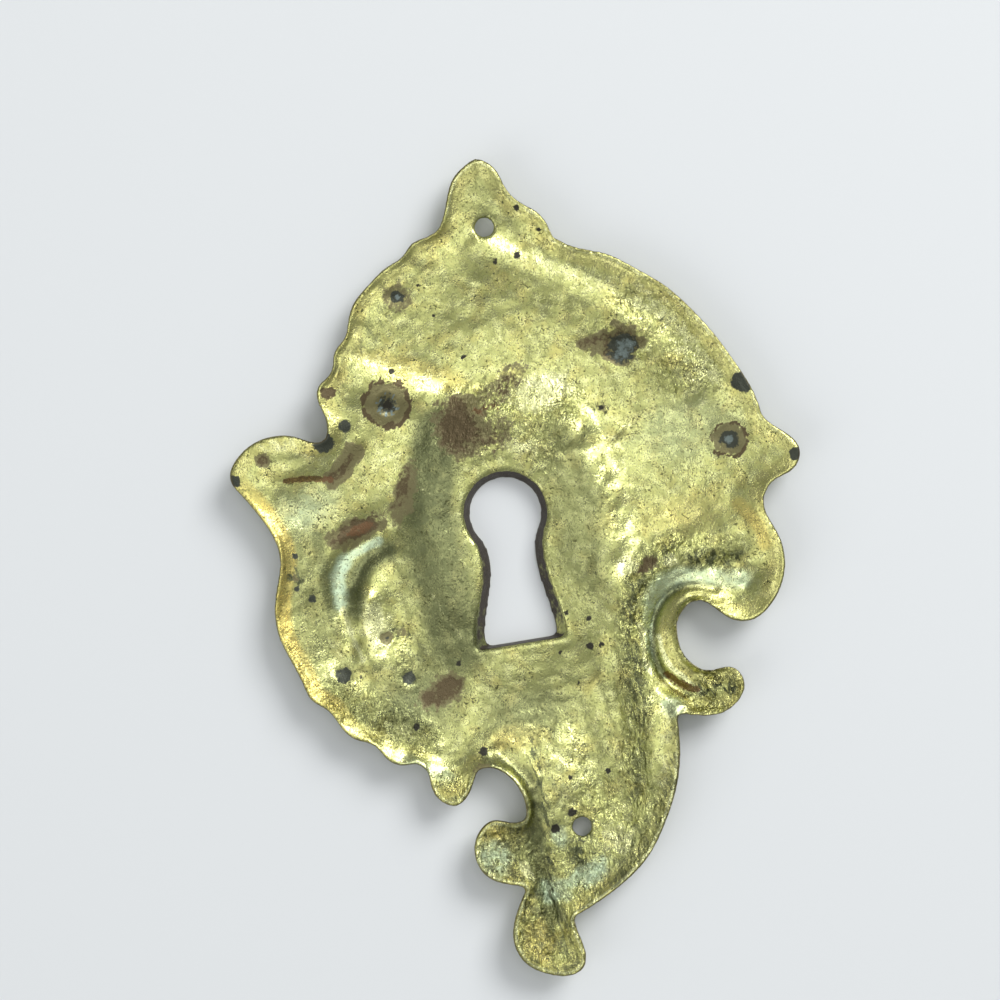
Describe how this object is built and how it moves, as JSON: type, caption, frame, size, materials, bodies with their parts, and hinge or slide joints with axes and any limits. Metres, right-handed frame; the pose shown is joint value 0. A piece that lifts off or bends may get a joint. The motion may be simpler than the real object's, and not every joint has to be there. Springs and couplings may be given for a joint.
{
  "type": "keyhole escutcheon",
  "caption": "Stamped sheet brass keyhole escutcheon with a leaf and scroll outline, hollow at the back, with a collared keyhole and pin holes above and below it.",
  "frame": {"origin": "on the axis of the keyhole's round head, in the plane of the rim that lies against the wood", "axes": "+Z out of the hollow back, towards the wood; +Y up the door along the line of the pin holes; +X to the right as seen from the back"},
  "size_m": [0.0583, 0.0844, 0.0044],
  "materials": {
    "tarnished_brass": "tarnished olive brass, unpolished back"
  },
  "bodies": {
    "root": {"escutcheon_plate": "tarnished_brass"}
  },
  "joints": []
}
